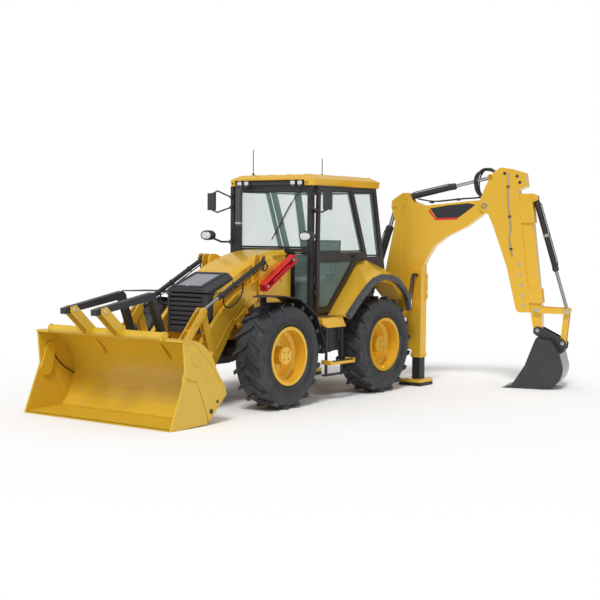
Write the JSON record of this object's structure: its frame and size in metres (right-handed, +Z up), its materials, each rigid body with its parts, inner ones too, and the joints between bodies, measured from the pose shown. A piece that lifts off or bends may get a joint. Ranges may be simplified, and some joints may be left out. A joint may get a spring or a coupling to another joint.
{
  "type": "backhoe loader",
  "caption": "Wheeled backhoe loader with a split front bucket and flip-over forks, a glazed cab, a sideshift backhoe with a telescopic stick, and square stabiliser legs.",
  "frame": {"origin": "middle of the footprint, on the ground", "axes": "+X forward (loader end), +Y left, +Z up"},
  "size_m": [7.112, 4.2113, 3.3534],
  "materials": {
    "yellow_paint": "gloss",
    "black_paint": "satin",
    "red_paint": "gloss",
    "black_plastic": "matt",
    "dark_casting": "rough",
    "tyre": "matt",
    "glass": "clear",
    "chrome": "polished",
    "seat_cloth": "matt"
  },
  "bodies": {
    "chassis": {"main_frame": "yellow_paint", "engine_block": "dark_casting", "axle_beams": "dark_casting", "cab_shell": "black_paint", "cab_glass": "glass", "cab_roof": "yellow_paint", "lamps": "black_plastic", "mirrors_antennas": "black_plastic", "cab_interior": "black_plastic", "rear_fenders": "yellow_paint", "tanks_and_steps": "black_plastic", "exhaust_stack": "black_paint", "lift_lock_strut": "red_paint"},
    "hood": {"hood": "yellow_paint", "hood_nose": "black_plastic", "grille": "black_plastic"},
    "door_left": {"door_left": "black_paint", "door_glass_left": "glass"},
    "door_right": {"door_right": "black_paint", "door_glass_right": "glass"},
    "seat": {"seat": "seat_cloth"},
    "knuckle_front_left": {"knuckle_front_left": "black_paint"},
    "wheel_front_left": {"rim_front_left": "yellow_paint", "tyre_front_left": "tyre"},
    "knuckle_front_right": {"knuckle_front_right": "black_paint"},
    "wheel_front_right": {"rim_front_right": "yellow_paint", "tyre_front_right": "tyre"},
    "knuckle_rear_left": {"knuckle_rear_left": "dark_casting"},
    "wheel_rear_left": {"rim_rear_left": "yellow_paint", "tyre_rear_left": "tyre"},
    "knuckle_rear_right": {"knuckle_rear_right": "dark_casting"},
    "wheel_rear_right": {"rim_rear_right": "yellow_paint", "tyre_rear_right": "tyre"},
    "loader_arms": {"loader_arms": "yellow_paint"},
    "lift_barrels": {"lift_barrels": "black_paint"},
    "lift_rods": {"lift_rods": "chrome"},
    "tilt_barrels": {"tilt_barrels": "black_paint"},
    "tilt_rods": {"tilt_rods": "chrome"},
    "tilt_levers": {"tilt_levers": "yellow_paint"},
    "bucket_links": {"bucket_links": "yellow_paint"},
    "loader_bucket": {"loader_bucket": "yellow_paint"},
    "bucket_clam": {"bucket_clam": "yellow_paint"},
    "fork_left": {"fork_left": "black_paint"},
    "fork_right": {"fork_right": "black_paint"},
    "stabiliser_leg_left": {"stabiliser_leg_left": "black_paint"},
    "stabiliser_leg_right": {"stabiliser_leg_right": "black_paint"},
    "sideshift_carriage": {"sideshift_carriage": "yellow_paint"},
    "swing_post": {"swing_post": "yellow_paint"},
    "boom": {"boom": "yellow_paint"},
    "stick": {"stick": "yellow_paint"},
    "extension_stick": {"extension_stick": "yellow_paint"},
    "hoe_lever": {"hoe_lever": "black_paint"},
    "hoe_link": {"hoe_link": "black_paint"},
    "hoe_bucket": {"hoe_bucket": "black_paint"},
    "boom_barrel": {"boom_barrel": "black_paint"},
    "boom_rod": {"boom_rod": "chrome"},
    "stick_barrel": {"stick_barrel": "black_paint"},
    "stick_rod": {"stick_rod": "chrome"},
    "bucket_barrel": {"bucket_barrel": "black_paint"},
    "bucket_rod": {"bucket_rod": "chrome"}
  },
  "joints": [
    {"name": "steer_front_left", "type": "hinge", "parent": "chassis", "child": "knuckle_front_left", "pos_m": [1.021, -0.26366, 0.66942], "axis": [0, 0, 1], "range_deg": [-20, 20]},
    {"name": "roll_front_left", "type": "hinge", "parent": "knuckle_front_left", "child": "wheel_front_left", "pos_m": [1.021, 0.06134, 0.66942], "axis": [0, 1, 0], "continuous": true},
    {"name": "steer_front_right", "type": "hinge", "parent": "chassis", "child": "knuckle_front_right", "pos_m": [1.021, -1.50366, 0.66942], "axis": [0, 0, 1], "range_deg": [-20, 20]},
    {"name": "roll_front_right", "type": "hinge", "parent": "knuckle_front_right", "child": "wheel_front_right", "pos_m": [1.021, -1.82866, 0.66942], "axis": [0, 1, 0], "continuous": true},
    {"name": "steer_rear_left", "type": "hinge", "parent": "chassis", "child": "knuckle_rear_left", "pos_m": [-1.179, -0.26366, 0.66942], "axis": [0, 0, 1], "range_deg": [-20, 20]},
    {"name": "roll_rear_left", "type": "hinge", "parent": "knuckle_rear_left", "child": "wheel_rear_left", "pos_m": [-1.179, 0.06134, 0.66942], "axis": [0, 1, 0], "continuous": true},
    {"name": "steer_rear_right", "type": "hinge", "parent": "chassis", "child": "knuckle_rear_right", "pos_m": [-1.179, -1.50366, 0.66942], "axis": [0, 0, 1], "range_deg": [-20, 20]},
    {"name": "roll_rear_right", "type": "hinge", "parent": "knuckle_rear_right", "child": "wheel_rear_right", "pos_m": [-1.179, -1.82866, 0.66942], "axis": [0, 1, 0], "continuous": true},
    {"name": "hood_lift", "type": "hinge", "parent": "chassis", "child": "hood", "pos_m": [0.046, -0.88366, 1.92442], "axis": [0, -1, 0], "range_deg": [0, 38]},
    {"name": "door_left_turn", "type": "hinge", "parent": "chassis", "child": "door_left", "pos_m": [-0.067, -0.16116, 1.49942], "axis": [0, 0, -1], "range_deg": [0, 80]},
    {"name": "door_right_turn", "type": "hinge", "parent": "chassis", "child": "door_right", "pos_m": [-0.067, -1.60616, 1.49942], "axis": [0, 0, 1], "range_deg": [0, 80]},
    {"name": "seat_turn", "type": "hinge", "parent": "chassis", "child": "seat", "pos_m": [-1.079, -0.88366, 1.19942], "axis": [0, 0, 1], "range_deg": [0, 180]},
    {"name": "loader_lift", "type": "hinge", "parent": "chassis", "child": "loader_arms", "pos_m": [0.371, -0.88366, 1.61942], "axis": [0, -1, 0], "range_deg": [-3, 85]},
    {"name": "lift_barrel_turn", "type": "hinge", "parent": "chassis", "child": "lift_barrels", "pos_m": [0.071, -0.88366, 0.69942], "axis": [0, -1, 0], "range_deg": [-1.79, 45.28]},
    {"name": "lift_rod_slide", "type": "slide", "parent": "lift_barrels", "child": "lift_rods", "axis": [0.9578, 0, 0.2873], "range_m": [-0.0313, 0.8328]},
    {"name": "bucket_tilt", "type": "hinge", "parent": "loader_arms", "child": "loader_bucket", "pos_m": [2.221, -0.88366, 0.29942], "axis": [0, 1, 0], "range_deg": [-35, 85]},
    {"name": "tilt_lever_turn", "type": "hinge", "parent": "loader_arms", "child": "tilt_levers", "pos_m": [1.841, -0.88366, 0.71942], "axis": [0, 1, 0], "range_deg": [-35.9, 86.9]},
    {"name": "bucket_link_turn", "type": "hinge", "parent": "tilt_levers", "child": "bucket_links", "pos_m": [2.021, -0.88366, 1.24942], "axis": [0, 1, 0], "range_deg": [-86.9, 35.9]},
    {"name": "tilt_barrel_turn", "type": "hinge", "parent": "chassis", "child": "tilt_barrels", "pos_m": [0.755, -0.88366, 1.86442], "axis": [0, -1, 0], "range_deg": [-4.15, 112.16]},
    {"name": "tilt_rod_slide", "type": "slide", "parent": "tilt_barrels", "child": "tilt_rods", "axis": [0.8995, 0, -0.437], "range_m": [-0.2806, 0.6785]},
    {"name": "clam_open", "type": "hinge", "parent": "loader_bucket", "child": "bucket_clam", "pos_m": [2.898, -0.88366, 0.77942], "axis": [0, 1, 0], "range_deg": [-80, 0]},
    {"name": "fork_left_flip", "type": "hinge", "parent": "loader_bucket", "child": "fork_left", "pos_m": [3.431, -0.63366, 1.30942], "axis": [0, 1, 0], "range_deg": [0, 260]},
    {"name": "fork_right_flip", "type": "hinge", "parent": "loader_bucket", "child": "fork_right", "pos_m": [3.431, -1.13366, 1.30942], "axis": [0, 1, 0], "range_deg": [0, 260]},
    {"name": "stabiliser_left_slide", "type": "slide", "parent": "chassis", "child": "stabiliser_leg_left", "axis": [0, 0, 1], "range_m": [-0.25, 0.2]},
    {"name": "stabiliser_right_slide", "type": "slide", "parent": "chassis", "child": "stabiliser_leg_right", "axis": [0, 0, 1], "range_m": [-0.25, 0.2]},
    {"name": "sideshift", "type": "slide", "parent": "chassis", "child": "sideshift_carriage", "axis": [0, -1, 0], "range_m": [-0.42, 0.62]},
    {"name": "swing", "type": "hinge", "parent": "sideshift_carriage", "child": "swing_post", "pos_m": [-2.429, -0.78366, 0.79942], "axis": [0, 0, 1], "range_deg": [-16.5, 163.5]},
    {"name": "boom_lift", "type": "hinge", "parent": "swing_post", "child": "boom", "pos_m": [-2.5142, -0.49601, 0.71942], "axis": [0.9588, 0.284, 0], "range_deg": [-85, 8]},
    {"name": "boom_barrel_turn", "type": "hinge", "parent": "swing_post", "child": "boom_barrel", "pos_m": [-2.41196, -0.84119, 1.23942], "axis": [0.9588, 0.284, 0], "range_deg": [-85.6, 8.24]},
    {"name": "boom_rod_slide", "type": "slide", "parent": "boom_barrel", "child": "boom_rod", "axis": [-0.0816, 0.2755, 0.9578], "range_m": [-0.081, 0.8417]},
    {"name": "stick_turn", "type": "hinge", "parent": "boom", "child": "stick", "pos_m": [-2.91751, 0.86551, 2.62442], "axis": [-0.9588, -0.284, 0], "range_deg": [-75, 25]},
    {"name": "stick_barrel_turn", "type": "hinge", "parent": "boom", "child": "stick_barrel", "pos_m": [-2.57953, -0.27548, 2.74442], "axis": [0.9588, 0.284, 0], "range_deg": [-1.73, 0.71]},
    {"name": "stick_rod_slide", "type": "slide", "parent": "stick_barrel", "child": "stick_rod", "axis": [-0.2766, 0.934, 0.2263], "range_m": [-0.4863, 0.1634]},
    {"name": "extension_slide", "type": "slide", "parent": "stick", "child": "extension_stick", "axis": [-0.0322, 0.1089, -0.9935], "range_m": [0, 1.1]},
    {"name": "hoe_bucket_turn", "type": "hinge", "parent": "extension_stick", "child": "hoe_bucket", "pos_m": [-3.14472, 1.63257, 0.82942], "axis": [0.9588, 0.284, 0], "range_deg": [-70, 55]},
    {"name": "hoe_lever_turn", "type": "hinge", "parent": "extension_stick", "child": "hoe_lever", "pos_m": [-3.14046, 1.61819, 1.12442], "axis": [0.9588, 0.284, 0], "range_deg": [-63.03, 49.57]},
    {"name": "hoe_link_turn", "type": "hinge", "parent": "hoe_lever", "child": "hoe_link", "pos_m": [-3.25974, 2.02089, 1.11442], "axis": [0.9588, 0.284, 0], "range_deg": [-26.01, 33.04]},
    {"name": "bucket_barrel_turn", "type": "hinge", "parent": "extension_stick", "child": "bucket_barrel", "pos_m": [-3.12257, 1.55778, 2.73942], "axis": [0.9588, 0.284, 0], "range_deg": [-5.91, 4.69]},
    {"name": "bucket_rod_slide", "type": "slide", "parent": "bucket_barrel", "child": "bucket_rod", "axis": [-0.0809, 0.2732, -0.9586], "range_m": [-0.2996, 0.3807]}
  ],
  "couplings": [
    {"joint": "steer_front_right", "follows": "steer_front_left", "ratio": 1},
    {"joint": "steer_rear_right", "follows": "steer_rear_left", "ratio": 1},
    {"joint": "lift_barrel_turn", "follows": "loader_lift", "ratio": 0.52},
    {"joint": "lift_rod_slide", "follows": "loader_lift", "m_per_rad": 0.56},
    {"joint": "tilt_lever_turn", "follows": "bucket_tilt", "ratio": 1},
    {"joint": "bucket_link_turn", "follows": "bucket_tilt", "ratio": -1},
    {"joint": "tilt_barrel_turn", "follows": "loader_lift", "ratio": 1.2913},
    {"joint": "tilt_rod_slide", "follows": "bucket_tilt", "m_per_rad": 0.456},
    {"joint": "boom_barrel_turn", "follows": "boom_lift", "ratio": 0.985},
    {"joint": "boom_rod_slide", "follows": "boom_lift", "m_per_rad": -0.566},
    {"joint": "stick_barrel_turn", "follows": "stick_turn", "ratio": 0.02},
    {"joint": "stick_rod_slide", "follows": "stick_turn", "m_per_rad": 0.37},
    {"joint": "hoe_lever_turn", "follows": "hoe_bucket_turn", "ratio": 0.88},
    {"joint": "hoe_link_turn", "follows": "hoe_bucket_turn", "ratio": -0.46},
    {"joint": "bucket_barrel_turn", "follows": "hoe_bucket_turn", "ratio": 0.08},
    {"joint": "bucket_rod_slide", "follows": "hoe_bucket_turn", "m_per_rad": -0.31}
  ]
}
